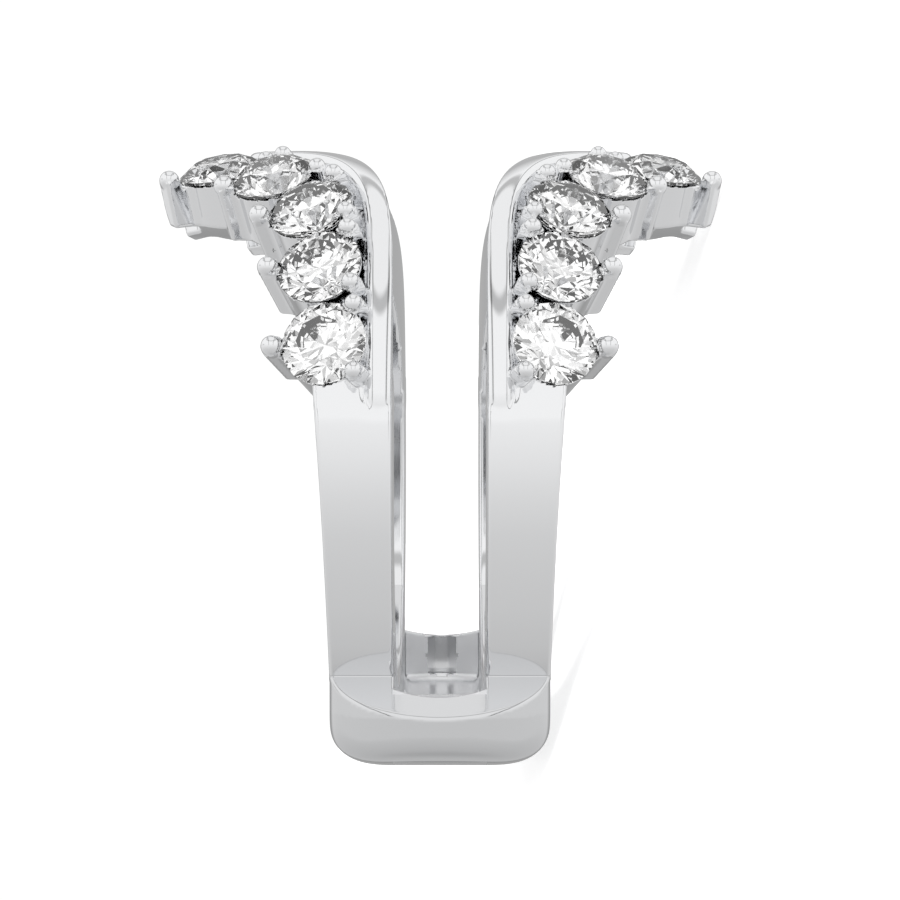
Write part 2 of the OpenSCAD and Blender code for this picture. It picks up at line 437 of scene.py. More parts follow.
@dataclass(frozen=True)
class Prong:
    """A post with a round bead on it, at an angle round its stone. Degrees and millimetres."""

    angle: float
    out: float
    bead: float
    fillet: float
    sink: float = 0.0


@dataclass
class SettingField:
    """One stone's cup, its three prongs and the room for the stone. Millimetres and degrees.

    Attributes:
        inset: how far the cup lies inside the girdle, with an edge of radius cup_edge.
        depth: how far cup and posts reach below the girdle.
        post: half a post's thickness, wide half its width, and post_edge the radius of its edges.
        tail: how far a post reaches back toward the stone's middle, up to tail_top below the girdle.
        outer_out: distance of the outer bead from the girdle, and inner_out of the inner two.
        inner_angle: of an inner bead from the inward direction.
        outer_bead: radius of the outer bead, with a fillet of outer_fillet to the cup, and so the inner.
        bead_rise: height of the beads, which their posts end under_bead below, with a fillet of bead_fillet.
        table: its diameter as a share of the stone's, as crown, pavilion and girdle are their heights.
        clear: room between stone and metal.
        hole: radius of the open hole under the stone.
    """

    station: Station
    inset: float = 0.02
    cup_edge: float = 0.03
    depth: float = 3.7
    post: float = 0.29
    wide: float = 0.33
    post_edge: float = 0.13
    tail: float = 0.95
    tail_top: float = 0.1
    outer_out: float = 0.27
    outer_bead: float = 0.36
    outer_fillet: float = 0.24
    inner_out: float = 0.17
    inner_angle: float = 47.0
    inner_bead: float = 0.305
    inner_fillet: float = 0.06
    bead_rise: float = 0.28
    under_bead: float = 0.02
    bead_fillet: float = 0.05
    table: float = 0.56
    crown: float = 0.15
    pavilion: float = 0.42
    girdle: float = 0.03
    clear: float = 0.012
    hole: float = 0.45

    def local(self, x: np.ndarray, y: np.ndarray, z: np.ndarray) -> Tuple[np.ndarray, ...]:
        """The points in the stone's own axes.

        Args:
            x: absolute side position.
            y: depth.
            z: height.

        Returns:
            Positions outward, along the row and up.
        """
        centre = self.station.centre()
        dx, dy, dz = x - centre[0], y - centre[1], z - centre[2]
        return tuple(dx * axis[0] + dy * axis[1] + dz * axis[2] for axis in self.station.basis())

    def prongs(self) -> Tuple[Prong, ...]:
        """The outer prong and the two inner ones.

        Returns:
            The prongs in order.
        """
        place = self.station
        outer = Prong(place.bead_turn, self.outer_out + place.bead_out, self.outer_bead, self.outer_fillet)
        inner = (self.inner_out, self.inner_bead, self.inner_fillet)
        lower = Prong(180 - self.inner_angle, *inner)
        return outer, lower, Prong(180 + self.inner_angle, *inner, sink=place.sink)

    def prong(self, shape: Prong, u: np.ndarray, t: np.ndarray, h: np.ndarray) -> np.ndarray:
        """Distance to one prong.

        Args:
            shape: its sizes.
            u: outward position.
            t: position along the row.
            h: height above the girdle.

        Returns:
            The distance at each point.
        """
        a = math.radians(shape.angle)
        along = u * math.cos(a) + t * math.sin(a) - self.station.size / 2 - shape.out
        beside = -u * math.sin(a) + t * math.cos(a)
        ends = np.maximum(along - self.post, -along - self.tail)
        bar = round_max(np.abs(beside) - self.wide, ends, self.post_edge)
        rise = self.bead_rise - shape.sink
        bar = np.maximum(bar, h - rise + self.under_bead)
        # The tail stays below the girdle, and the post itself runs up to its bead
        bar = np.maximum(bar, np.where(along < -self.post, h + self.tail_top, -1.0))
        ball = np.sqrt(along**2 + beside**2 + (h - rise) ** 2) - shape.bead
        return round_min(bar, ball, self.bead_fillet)

    def metal(self, u: np.ndarray, t: np.ndarray, h: np.ndarray) -> np.ndarray:
        """Distance to the cup and prongs.

        Args:
            u: outward position.
            t: position along the row.
            h: height above the girdle.

        Returns:
            The distance at each point.
        """
        size = self.station.size
        half = self.girdle * size / 2
        d = round_max(np.hypot(u, t) - (size / 2 - self.inset), h + half, self.cup_edge)
        for shape in self.prongs():
            d = round_min(d, self.prong(shape, u, t, h), shape.fillet)
        return np.maximum(d, -h - self.depth)

    def room(self, u: np.ndarray, t: np.ndarray, h: np.ndarray) -> np.ndarray:
        """Distance to the stone's room and the open hole below it.

        Args:
            u: outward position.
            t: position along the row.
            h: height above the girdle.

        Returns:
            The distance at each point.
        """
        size = self.station.size
        r, half = size / 2, self.girdle * size / 2
        rho = np.hypot(u, t)
        crown = math.atan2(self.crown * size, r * (1 - self.table))
        low = math.atan2(self.pavilion * size, r)
        d = np.maximum(rho - r, (rho - r) * math.sin(crown) + (h - half) * math.cos(crown))
        d = np.maximum(d, (rho - r) * math.sin(low) - (h + half) * math.cos(low)) - self.clear
        return np.minimum(d, np.maximum(rho - self.hole, h))


class Tone(Enum):
    """The plain colours of the set, with BASE a darker copy of METAL that serves as painted shade."""

    FLOOR = (0.93, 0.93, 0.93)
    METAL = (0.87, 0.875, 0.885)
    # Painted shade: the same metal as METAL, darkened because the base gathers less light
    BASE = (0.72, 0.725, 0.735)
    SLOT = (0.9, 0.905, 0.915)
    STONE = (1.0, 1.0, 1.0)


def blank_material(name: str, tone: Tone) -> Material:
    """A material with its node tree and base colour.

    Args:
        name: its name.
        tone: its colour.

    Returns:
        The new material.
    """
    mat = bpy.data.materials.new(name)
    mat.use_nodes = True
    mat.node_tree.nodes["Principled BSDF"].inputs["Base Color"].default_value = (*tone.value, 1)
    return mat


def noise_over(nt: NodeTree, scale: float, detail: float) -> NodeSocket:
    """A noise that is fixed to the object.

    Args:
        nt: the tree.
        scale: cells in a metre.
        detail: its finer layers.

    Returns:
        The noise, from 0 to 1.
    """
    where = nt.nodes.new("ShaderNodeTexCoord")
    noise = nt.nodes.new("ShaderNodeTexNoise")
    noise.inputs["Scale"].default_value = scale
    noise.inputs["Detail"].default_value = detail
    nt.links.new(where.outputs["Object"], noise.inputs["Vector"])
    return noise.outputs["Fac"]


def uneven_gloss(nt: NodeTree, noise: NodeSocket, low: float, high: float) -> None:
    """Lets the roughness wander with a noise.

    Args:
        nt: the tree.
        noise: what it follows.
        low: least roughness.
        high: most roughness.
    """
    spread = nt.nodes.new("ShaderNodeMapRange")
    spread.inputs["To Min"].default_value = low
    spread.inputs["To Max"].default_value = high
    nt.links.new(noise, spread.inputs["Value"])
    nt.links.new(spread.outputs["Result"], nt.nodes["Principled BSDF"].inputs["Roughness"])


@dataclass(frozen=True)
class MetalFinish:
    """High polish with the faint unevenness of a hand-held buff."""

    tone: Tone = Tone.METAL
    roughness: float = 0.07
    spread: float = 0.03
    grain: float = 900.0
    grain_detail: float = 3.0
    wave: float = 0.02
    wave_scale: float = 260.0
    wave_detail: float = 2.0
    wave_height: float = 0.0002

    def material(self) -> Material:
        """Makes the material.

        Returns:
            The new material.
        """
        mat = blank_material(f"polished_{self.tone.name.lower()}", self.tone)
        nt = mat.node_tree
        bsdf = nt.nodes["Principled BSDF"]
        bsdf.inputs["Metallic"].default_value = 1.0
        grain = noise_over(nt, self.grain, self.grain_detail)
        uneven_gloss(nt, grain, self.roughness - self.spread / 2, self.roughness + self.spread / 2)
        bump = nt.nodes.new("ShaderNodeBump")
        bump.inputs["Strength"].default_value = self.wave
        bump.inputs["Distance"].default_value = self.wave_height
        nt.links.new(noise_over(nt, self.wave_scale, self.wave_detail), bump.inputs["Height"])
        nt.links.new(bump.outputs["Normal"], bsdf.inputs["Normal"])
        return mat


@dataclass(frozen=True)
class StoneFinish:
    """A colourless cut stone with polished facets."""

    tone: Tone = Tone.STONE
    index: float = 2.42
    haze: float = 0.02
    grain: float = 1500.0
    grain_detail: float = 2.0

    def material(self) -> Material:
        """Makes the material.

        Returns:
            The new material.
        """
        mat = blank_material("cut_stone", self.tone)
        nt = mat.node_tree
        bsdf = nt.nodes["Principled BSDF"]
        bsdf.inputs["IOR"].default_value = self.index
        bsdf.inputs["Transmission Weight"].default_value = 1.0
        uneven_gloss(nt, noise_over(nt, self.grain, self.grain_detail), 0.0, self.haze)
        return mat


@dataclass
class Stones:
    """The cut stones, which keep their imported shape."""

    finish: StoneFinish = field(default_factory=StoneFinish)

    def dress(self, nodes: Dict[str, Object]) -> None:
        """Gives every stone its finish.

        Args:
            nodes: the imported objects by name.
        """
        mat = self.finish.material()
        stones = {name: obj for name, obj in nodes.items() if name.startswith("stone_")}
        for name, obj in stones.items():
            obj.data.materials.clear()
            obj.data.materials.append(mat)
            for facet in obj.data.polygons:
                facet.use_smooth = False
            LOG.info("%s: dressed", name)


def spaced(*parts: Tuple[float, float, float]) -> np.ndarray:
    """Grid places over joined stretches.

    Args:
        parts: each stretch's start, end and step.

    Returns:
        The places in order, with the last end.
    """
    out = [np.arange(start, end - step / 2, step) for start, end, step in parts]
    return np.concatenate(out + [[parts[-1][1]]])


@dataclass(frozen=True)
class CylinderGrid:
    """The places where the casting's field is read, round the finger axis. Millimetres and degrees.

    The sides start, and the turns start and end, half a step past a mirror plane.

    Attributes:
        cell: step where beads, cups and ridge are.
        slot_x: side position up to which the step is slot_step, and far_x the last.
        bead_r: radius at which an angle step is as long as a cell.
        wing_to: angle up to which that step is used, then hoop_step up to hoop_to, then base_step.
        near_r: first radius, metal_r the last with a cell's step, and far_r the last with far_step.
    """

    cell: float = 0.078
    slot_step: float = 0.12
    slot_x: float = 1.3
    far_x: float = 10.5
    bead_r: float = 10.6
    wing_to: float = 83.0
    hoop_to: float = 126.0
    hoop_step: float = 1.0
    base_to: float = 180.3
    base_step: float = 0.46
    near_r: float = 8.45
    metal_r: float = 12.5
    far_r: float = 14.2
    far_step: float = 0.11

    def sides(self) -> np.ndarray:
        """Side positions."""
        slot = (-self.slot_step / 2, self.slot_x, self.slot_step)
        return spaced(slot, (self.slot_x, self.far_x, self.cell))

    def turns(self) -> np.ndarray:
        """Angles from the head.

        Returns:
            The angles in degrees.
        """
        step = math.degrees(self.cell / self.bead_r)
        wing = (-step / 2, self.wing_to, step)
        hoop = (self.wing_to, self.hoop_to, self.hoop_step)
        turns = spaced(wing, hoop, (self.hoop_to, self.base_to, self.base_step))
        turns = turns[turns < 180]
        return np.append(turns, [180.0 + (180.0 - turns[-1])])

    def radii(self) -> np.ndarray:
        """Radii from the finger axis."""
        return spaced((self.near_r, self.metal_r, self.cell), (self.metal_r, self.far_r, self.far_step))


def edge_ends(values: np.ndarray, axis: int) -> Tuple[np.ndarray, np.ndarray]:
    """The values at both ends of every grid edge along an axis.

    Args:
        values: one value a grid place.
        axis: 0, 1 or 2.

    Returns:
        The values at the lower ends and at the upper ends.
    """
    lower = [slice(None)] * 3
    upper = [slice(None)] * 3
    lower[axis], upper[axis] = slice(0, -1), slice(1, None)
    return values[tuple(lower)], values[tuple(upper)]


@dataclass
class SurfaceNet:
    """The surface where a field changes sign: a vertex in each crossed cell, a quad round each crossed edge."""

    axes: Tuple[np.ndarray, np.ndarray, np.ndarray]
    values: np.ndarray

    def cells(self) -> Tuple[int, ...]:
        """How many cells the grid has along each axis."""
        return tuple(n - 1 for n in self.values.shape)

    def corners(self) -> Tuple[np.ndarray, np.ndarray]:
        """A place in each crossed cell, the mean of the crossings on its edges.

        Returns:
            The cells' numbers along each axis, and the places on the three axes.
        """
        cells = self.cells()
        total, count = np.zeros(cells + (3,), dtype=np.float32), np.zeros(cells, dtype=np.float32)
        for axis in range(3):
            a, b = edge_ends(self.values, axis)
            cross = np.argwhere((a < 0) != (b < 0))
            va, vb = a[tuple(cross.T)], b[tuple(cross.T)]
            place = np.stack([self.axes[k][cross[:, k]] for k in range(3)], axis=1)
            step = self.axes[axis][cross[:, axis] + 1] - self.axes[axis][cross[:, axis]]
            place[:, axis] += va / (va - vb) * step
            p, q = [k for k in range(3) if k != axis]
            for dp, dq in ((0, 0), (0, 1), (1, 0), (1, 1)):
                cell = cross.copy()
                cell[:, p] -= dp
                cell[:, q] -= dq
                ok = np.all((cell >= 0) & (cell < np.array(cells)), axis=1)
                np.add.at(total, tuple(cell[ok].T), place[ok])
                np.add.at(count, tuple(cell[ok].T), 1.0)
        used = np.argwhere(count > 0)
        at = tuple(used.T)
        return used, total[at] / count[at][:, None]

    def quads(self, used: np.ndarray) -> np.ndarray:
        """A quad round each crossed edge, without the half cells past the mirror planes.

        Args:
            used: the crossed cells' numbers along each axis.

        Returns:
            Rows of four vertex numbers.
        """
        cells = self.cells()
        number = np.full(cells, -1, dtype=np.int64)
        number[tuple(used.T)] = np.arange(len(used))
        inside = self.values < 0
        turns = self.values.shape[1]
        out = []
        for axis in range(3):
            a, b = edge_ends(inside, axis)
            cross = np.argwhere(a != b)
            cross = cross[(cross[:, 0] >= 1) & (cross[:, 1] >= 1) & (cross[:, 1] < turns - 1)]
            p, q = [k for k in range(3) if k != axis]
            ok = (cross[:, p] >= 1) & (cross[:, q] >= 1) & (cross[:, p] < cells[p]) & (cross[:, q] < cells[q])
            cross = cross[ok]
            ring = []
            for dp, dq in ((0, 0), (-1, 0), (-1, -1), (0, -1)):
                cell = cross.copy()
                cell[:, p] += dp
                cell[:, q] += dq
                ring.append(number[tuple(cell.T)])
            quad = np.stack(ring, axis=1)
            flip = inside[tuple(cross.T)]
            if axis == 1:
                flip = ~flip
            quad[flip] = quad[flip][:, ::-1]
            out.append(quad[(quad >= 0).all(axis=1)])
        return np.concatenate(out)


class Zone(Enum):
    """Stretches of a quarter: the angles from the head, in degrees, where each starts and ends."""

    WING = (-math.inf, 81.0)
    HOOP = (81.0, 128.9)
    BASE = (128.9, math.inf)

    def holds(self, angle: np.ndarray) -> np.ndarray:
        """Which angles lie in the stretch."""
        return (angle >= self.value[0]) & (angle < self.value[1])


@dataclass(frozen=True)
class Cut:
    """One mesh of the casting: its stretch of the quarter, and the signs of side and depth of its copies."""

    name: str
    zone: Zone
    mirrors: Tuple[Tuple[int, int], ...]


def cuts() -> Tuple[Cut, ...]:
    """The meshes that the casting is cut into.

    Returns:
        Four quarter wings, two hoops and the base.
    """
    sides = (("left", 1), ("right", -1))
    ends = (("near", 1), ("far", -1))
    wings = [Cut(f"metal_wing_{a}_{b}", Zone.WING, ((x, y),)) for a, x in sides for b, y in ends]
    hoops = [Cut(f"metal_hoop_{a}", Zone.HOOP, ((x, 1), (x, -1))) for a, x in sides]
    base = Cut("metal_base", Zone.BASE, tuple((x, y) for _, x in sides for _, y in ends))
    return (*wings, *hoops, base)


def zone_finishes() -> Dict[Zone, Tuple[MetalFinish, ...]]:
    """The finishes of each stretch. The base gets a darker colour on the same metal as painted shade, for the
    less light it gathers, and a buff hardly reaches into its slot.

    Returns:
        One finish a stretch, and for the base a second one inside its slot.
    """
    slot = MetalFinish(Tone.SLOT, roughness=0.3)
    return {
        Zone.WING: (MetalFinish(),),
        Zone.HOOP: (MetalFinish(),),
        # The base's darker tone is painted shade on the hoops' own metal
        Zone.BASE: (MetalFinish(Tone.BASE), slot),
    }


@dataclass
class CastMetal:
    """The whole casting as one field, cut into a few meshes. Millimetres and degrees.

    Attributes:
        low: height above the base's top up to which its field is read.
        high: height down to which the wings' field is read.
        base_fillet: radius between base and hoops, and so wing_fillet and setting_fillet.
        near: distance from a stone within which its setting is read.
        apex: least angle of a station whose setting stays on its own side of the middle.
        row_past: how far the line through the stones runs on outward at the apex.
        row_end: side position and depth where it ends at the shoulder.
        bore_edge: edge radius of the finger bore, which opens by relief a millimetre outside relief_x.
        floor_edge: radius of the flats that the ring rests on.
        probe: step at which the field's slope is read, and steepness the least that is divided by.
        pull: the most that a vertex moves in each of the passes that put it on the surface.
        slot_skin: how far outside the slot's walls, and slot_depth past its centre, its finish reaches.
        weld: places in a millimetre that count as different vertices.
    """

    pose: Pose
    hoops: HoopField = field(default_factory=HoopField)
    base: BaseField = field(default_factory=BaseField)
    ridge: RidgeField = field(default_factory=RidgeField)
    settings: List[SettingField] = field(default_factory=lambda: [SettingField(s) for s in stations()])
    grid: CylinderGrid = field(default_factory=CylinderGrid)
    finishes: Dict[Zone, Tuple[MetalFinish, ...]] = field(default_factory=zone_finishes)
    made: Dict[MetalFinish, Material] = field(default_factory=dict)
    low: float = 0.5
    high: float = -0.5
    base_fillet: float = 0.05
    wing_fillet: float = 0.08
    setting_fillet: float = 0.04
    near: float = 3.6
    apex: float = 20.0
    row_past: float = 0.3
    row_end: Tuple[float, float] = (4.04, 11.6)
    bore_edge: float = 0.12
    relief: float = 0.03
    relief_x: float = 4.1
    floor_edge: float = 0.04
    probe: float = 0.004
    steepness: float = 1e-12
    pull: float = 0.06
    passes: int = 3
    slot_skin: float = 0.04
    slot_depth: float = 4.25
    weld: float = 1e4

    def outside_row(self, x: np.ndarray, y: np.ndarray) -> np.ndarray:
        """Plan distance past the line through the stones, positive away from the ridge.

        Args:
            x: absolute side position.
            y: absolute depth.

        Returns:
            The distance at each point.
        """
        centres = [s.station.centre()[:2] for s in self.settings][::-1]
        line = np.array([(centres[0][0] + self.row_past, 0.0), *centres, self.row_end])
        edge = np.interp(y, line[:, 1], line[:, 0])
        slope = np.interp(y, line[:, 1], np.gradient(line[:, 0], line[:, 1]))
        return (x - edge) / np.sqrt(1 + slope**2)

    def add_settings(self, d: np.ndarray, x: np.ndarray, y: np.ndarray, z: np.ndarray) -> None:
        """Joins the settings to a field, then takes the stones' rooms out of it.

        Args:
            d: the field, which is changed.
            x: absolute side position.
            y: absolute depth.
            z: height.
        """
        rooms = []
        for setting in self.settings:
            c = setting.station.centre()
            for flip in (1.0, -1.0) if setting.station.angle < self.apex else (1.0,):
                depth = y * flip
                away = (x - c[0]) ** 2 + (depth - c[1]) ** 2 + (z - c[2]) ** 2
                pick = np.flatnonzero(away < self.near**2)
                if not len(pick):
                    continue
                local = setting.local(x[pick], depth[pick], z[pick])
                d[pick] = round_min(d[pick], setting.metal(*local), self.setting_fillet)
                rooms.append((pick, setting.room(*local)))
        for pick, room in rooms:
            d[pick] = np.maximum(d[pick], -room)

    def distance(self, points: np.ndarray) -> np.ndarray:
        """Distance to the metal.

        Args:
            points: rows of X, Y and Z of the standing ring.

        Returns:
            One distance a row, negative inside.
        """
        x, y, z = np.abs(points[:, 0]), np.abs(points[:, 1]), points[:, 2]
        d = self.hoops.distance(x, y, z)
        low = z < self.low - y * math.tan(math.radians(self.base.shelf))
        if low.any():
            base = self.base.distance(x[low], y[low], z[low])
            d[low] = round_min(d[low], base, self.base_fillet)
        high = z > self.high
        if high.any():
            hx, hy, hz = x[high], y[high], z[high]
            wing = self.ridge.distance(hx, hy, hz, self.outside_row(hx, hy))
            d[high] = round_min(d[high], wing, self.wing_fillet)
        self.add_settings(d, x, y, z)
        opened = self.relief * np.maximum(x - self.relief_x, 0)
        d = round_max(d, self.hoops.bore + opened - np.hypot(y, z), self.bore_edge)
        up = self.pose.axes()[2]
        return round_max(d, x * up[0] - z * up[2] - self.pose.lift, self.floor_edge)

    def gradient(self, points: np.ndarray) -> np.ndarray:
        """The direction in which the field grows at each point.

        Args:
            points: rows of X, Y and Z of the standing ring.

        Returns:
            Unit rows.
        """
        g = np.empty_like(points)
        for k in range(3):
            off = np.zeros(3)
            off[k] = self.probe
            g[:, k] = self.distance(points + off) - self.distance(points - off)
        return g / (np.linalg.norm(g, axis=1, keepdims=True) + self.steepness)

    def settle(self, verts: np.ndarray) -> np.ndarray:
        """Moves each vertex onto the surface.

        Args:
            verts: rows in millimetres.

        Returns:
            The moved rows.
        """
        for _ in range(self.passes):
            d = np.clip(self.distance(verts), -self.pull, self.pull)
            verts = verts - self.gradient(verts) * d[:, None]
        return verts

    def sample(self, axes: Tuple[np.ndarray, np.ndarray, np.ndarray]) -> np.ndarray:
        """Reads the field on the grid.

        Args:
            axes: side positions, angles in radians and radii.

        Returns:
            One value a grid place.
        """
        sides, turns, radii = axes
        values = np.empty([len(a) for a in axes], dtype=np.float32)
        depth = np.sin(turns)[:, None] * radii[None, :]
        height = np.cos(turns)[:, None] * radii[None, :]
        for i, side in enumerate(sides):
            points = np.stack([np.full(depth.size, side), depth.ravel(), height.ravel()], axis=1)
            values[i] = self.distance(points).reshape(depth.shape)
        return values

    def quarter(self) -> Tuple[np.ndarray, np.ndarray]:
        """The surface of the quarter with positive side and depth.

        Returns:
            Vertices in millimetres and quads.
        """
        axes = (self.grid.sides(), np.radians(self.grid.turns()), self.grid.radii())
        net = SurfaceNet(axes, self.sample(axes))
        used, mid = net.corners()
        verts = np.stack([mid[:, 0], np.sin(mid[:, 1]) * mid[:, 2], np.cos(mid[:, 1]) * mid[:, 2]], axis=1)
        verts = self.settle(verts.astype(float))
        # Vertices of the half cells lie on the mirror planes
        verts[used[:, 0] == 0, 0] = 0.0
        verts[(used[:, 1] == 0) | (used[:, 1] == net.cells()[1] - 1), 1] = 0.0
        return verts, net.quads(used)

    def look(self, finish: MetalFinish) -> Material:
        """The material of a finish, which is made once.

        Args:
            finish: the finish.

        Returns:
            Its material.
        """
        if finish not in self.made:
            self.made[finish] = finish.material()
        return self.made[finish]

    def dress(self, mesh: bpy.types.Mesh, zone: Zone, in_slot: np.ndarray) -> None:
        """Gives a mesh its finishes.

        Args:
            mesh: the mesh.
            zone: its stretch of the quarter.
            in_slot: 1 for the faces that take the second finish, 0 for the others.
        """
        for finish in self.finishes[zone]:
            mesh.materials.append(self.look(finish))
        mesh.polygons.foreach_set("material_index", in_slot)

    def build(self) -> List[Object]:
        """Makes the meshes of the casting.

        Returns:
            The new objects.
        """
        verts, quads = self.quarter()
        normals = self.gradient(verts)
        mid = verts[quads].mean(axis=1)
        angle = np.degrees(np.arctan2(mid[:, 1], mid[:, 2]))
        in_slot = mid[:, 0] < self.base.gap + self.slot_skin
        in_slot &= mid[:, 1] < self.base.slot_y + self.slot_depth
        out = []
        for cut in cuts():
            pick = cut.zone.holds(angle)
            used, local = np.unique(quads[pick], return_inverse=True)
            local = local.reshape(-1, 4)
            second = in_slot[pick] & (len(self.finishes[cut.zone]) > 1)
            out.append(self.piece(cut, verts[used], normals[used], local, second))
        return out

    def piece(
        self, cut: Cut, verts: np.ndarray, normals: np.ndarray, quads: np.ndarray, second: np.ndarray
    ) -> Object:
        """One object from mirrored copies of a quarter's part.

        Args:
            cut: its name, stretch and copies.
            verts: rows in millimetres.
            normals: unit rows.
            quads: vertex numbers.
            second: which quads take the second finish.

        Returns:
            The object.
        """
        all_v, all_n, all_q = [], [], []
        for k, (side, depth) in enumerate(cut.mirrors):
            sign = np.array([side, depth, 1.0])
            all_v.append(verts * sign)
            all_n.append(normals * sign)
            all_q.append((quads[:, ::-1] if side * depth > 0 else quads) + k * len(verts))
        v, n, q = np.concatenate(all_v), np.concatenate(all_n), np.concatenate(all_q)
        key = np.round(v * self.weld).astype(np.int64)
        _, first, back = np.unique(key, axis=0, return_index=True, return_inverse=True)
        v, n, q = v[first], n[first], back.ravel()[q]
        keep = np.array([len(set(f)) == 4 for f in q.tolist()])
        q, in_slot = q[keep], np.tile(second, len(cut.mirrors))[keep]
        mesh = bpy.data.meshes.new(cut.name)
        mesh.from_pydata(self.pose.place(v).tolist(), [], q.tolist())
        self.dress(mesh, cut.zone, in_slot.astype(np.int32))
        mesh.validate()
        mesh.shade_smooth()
        mesh.normals_split_custom_set_from_vertices((n @ self.pose.axes().T).tolist())
        obj = bpy.data.objects.new(cut.name, mesh)
        bpy.context.scene.collection.objects.link(obj)
        LOG.info("%s: %d vertices, %d quads", cut.name, len(v), len(q))
        return obj


@dataclass(frozen=True)
class GreyRamp:
    """Greys at places from 0 to 1."""

    stops: Tuple[Tuple[float, float], ...]

    def read(self, nt: NodeTree, value: NodeSocket) -> NodeSocket:
        """Puts the ramp in a tree.

        Args:
            nt: the tree.
            value: what it reads, from 0 to 1.

        Returns:
            The grey.
        """
        ramp = nt.nodes.new("ShaderNodeValToRGB")
        while len(ramp.color_ramp.elements) < len(self.stops):
            ramp.color_ramp.elements.new(0.5)
        for stop, (place, grey) in zip(ramp.color_ramp.elements, self.stops):
            stop.position = place
            stop.color = (grey, grey, grey, 1)
        nt.links.new(value, ramp.inputs["Fac"])
        return ramp.outputs["Color"]


@dataclass(frozen=True)
class Tent:
    """The greys of the soft tent round the ring.

    Attributes:
        fall: from below the base to past the head.
        behind: from behind the ring to the viewer.
        flags: from the middle plane to the sides, as strongly as flag_reach says at each height.
        sparkle: of the patchwork that the stones gather.
    """

    fall: GreyRamp = GreyRamp(
        (
            (0.0, 0.5), (0.012, 0.56), (0.027, 0.59), (0.09, 0.63), (0.172, 0.655), (0.273, 0.69),
            (0.379, 0.76), (0.5, 0.86), (0.6, 0.93), (0.7, 1.0), (0.895, 1.0), (0.91, 0.55), (0.93, 0.55),
            (0.945, 0.95), (1.0, 0.95),
        )
    )
    behind: GreyRamp = GreyRamp(((0.0, 0.5), (0.1, 0.5), (0.2, 1.0), (1.0, 1.0)))
    flags: GreyRamp = GreyRamp(
        (
            (0.0, 1.0), (0.35, 1.0), (0.37, 0.35), (0.41, 0.35), (0.43, 1.0), (0.94, 1.0), (0.97, 0.6),
            (1.0, 0.6),
        )
    )
    flag_reach: GreyRamp = GreyRamp(((0.0, 0.0), (0.55, 0.0), (0.62, 1.0), (1.0, 1.0)))
    sparkle: GreyRamp = GreyRamp(
        (
            (0.0, 0.36), (0.36, 0.42), (0.4, 0.7), (0.46, 1.05), (0.52, 1.4), (0.6, 1.4), (0.63, 0.55),
            (0.68, 1.4),
        )
    )


